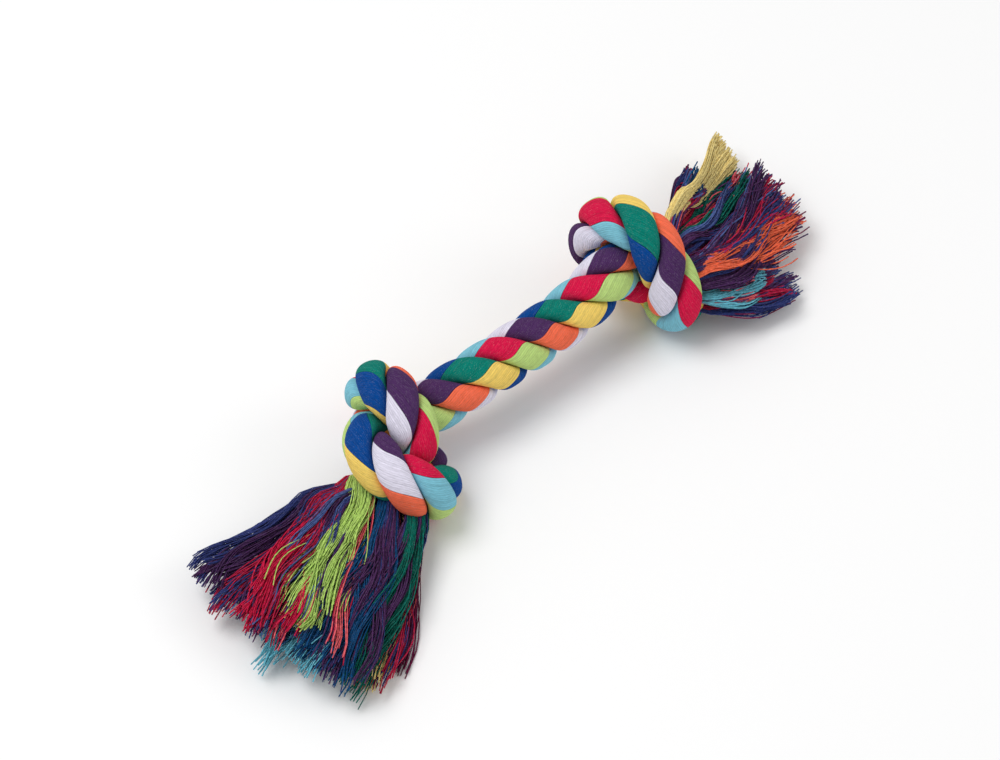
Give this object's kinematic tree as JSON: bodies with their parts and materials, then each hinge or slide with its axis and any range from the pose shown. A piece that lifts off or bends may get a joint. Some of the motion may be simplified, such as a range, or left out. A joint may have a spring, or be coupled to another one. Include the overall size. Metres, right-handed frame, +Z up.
{
  "type": "rope dog toy",
  "caption": "Knotted cotton rope chew toy: a laid multicolour rope with an overhand knot near each end and combed-out tassel ends, for tugging and chewing.",
  "frame": {"origin": "on the floor, under the middle of the toy's box", "axes": "+X along the span from the left knot to the right knot, +Y away from the viewer's side, +Z up"},
  "size_m": [0.2702, 0.115, 0.0523],
  "materials": {
    "cotton_yellow": "matte cotton yarn",
    "cotton_blue": "matte cotton yarn",
    "cotton_green": "matte cotton yarn",
    "cotton_orange": "matte cotton yarn",
    "cotton_white": "matte cotton yarn",
    "cotton_purple": "matte cotton yarn",
    "cotton_lime": "matte cotton yarn",
    "cotton_cyan": "matte cotton yarn",
    "cotton_red": "matte cotton yarn"
  },
  "bodies": {
    "left_half": {"left_yellow_yarns": "cotton_yellow", "left_blue_yarns": "cotton_blue", "left_green_yarns": "cotton_green", "left_orange_yarns": "cotton_orange", "left_white_yarns": "cotton_white", "left_purple_yarns": "cotton_purple", "left_lime_yarns": "cotton_lime", "left_cyan_yarns": "cotton_cyan", "left_red_yarns": "cotton_red", "bend_yellow_yarns": "cotton_yellow", "bend_blue_yarns": "cotton_blue", "bend_green_yarns": "cotton_green", "bend_orange_yarns": "cotton_orange", "bend_white_yarns": "cotton_white", "bend_purple_yarns": "cotton_purple", "bend_lime_yarns": "cotton_lime", "bend_cyan_yarns": "cotton_cyan", "bend_red_yarns": "cotton_red"},
    "right_half": {"right_yellow_yarns": "cotton_yellow", "right_blue_yarns": "cotton_blue", "right_green_yarns": "cotton_green", "right_orange_yarns": "cotton_orange", "right_white_yarns": "cotton_white", "right_purple_yarns": "cotton_purple", "right_lime_yarns": "cotton_lime", "right_cyan_yarns": "cotton_cyan", "right_red_yarns": "cotton_red"},
    "left_tassel": {"left_tuft_yellow": "cotton_yellow", "left_tuft_blue": "cotton_blue", "left_tuft_green": "cotton_green", "left_tuft_orange": "cotton_orange", "left_tuft_white": "cotton_white", "left_tuft_purple": "cotton_purple", "left_tuft_lime": "cotton_lime", "left_tuft_cyan": "cotton_cyan", "left_tuft_red": "cotton_red"},
    "right_tassel": {"right_tuft_yellow": "cotton_yellow", "right_tuft_blue": "cotton_blue", "right_tuft_green": "cotton_green", "right_tuft_orange": "cotton_orange", "right_tuft_white": "cotton_white", "right_tuft_purple": "cotton_purple", "right_tuft_lime": "cotton_lime", "right_tuft_cyan": "cotton_cyan", "right_tuft_red": "cotton_red"}
  },
  "joints": [
    {"name": "rope_bend", "type": "hinge", "parent": "left_half", "child": "right_half", "pos_m": [0.00728, 0.01598, 0.025], "axis": [0, 0, 1], "range_deg": [-60, 60], "deforming": ["bend_yellow_yarns", "bend_blue_yarns", "bend_green_yarns", "bend_orange_yarns", "bend_white_yarns", "bend_purple_yarns", "bend_lime_yarns", "bend_cyan_yarns", "bend_red_yarns"]},
    {"name": "left_tassel_sway", "type": "hinge", "parent": "left_half", "child": "left_tassel", "pos_m": [-0.05861, 0.00468, 0.01324], "axis": [0, 0, 1], "range_deg": [-30, 30], "deforming": ["left_tuft_yellow", "left_tuft_blue", "left_tuft_green", "left_tuft_orange", "left_tuft_white", "left_tuft_purple", "left_tuft_lime", "left_tuft_cyan", "left_tuft_red"]},
    {"name": "right_tassel_sway", "type": "hinge", "parent": "right_half", "child": "right_tassel", "pos_m": [0.07594, 0.01068, 0.01955], "axis": [0, 0, 1], "range_deg": [-30, 30], "deforming": ["right_tuft_yellow", "right_tuft_blue", "right_tuft_green", "right_tuft_orange", "right_tuft_white", "right_tuft_purple", "right_tuft_lime", "right_tuft_cyan", "right_tuft_red"]}
  ]
}
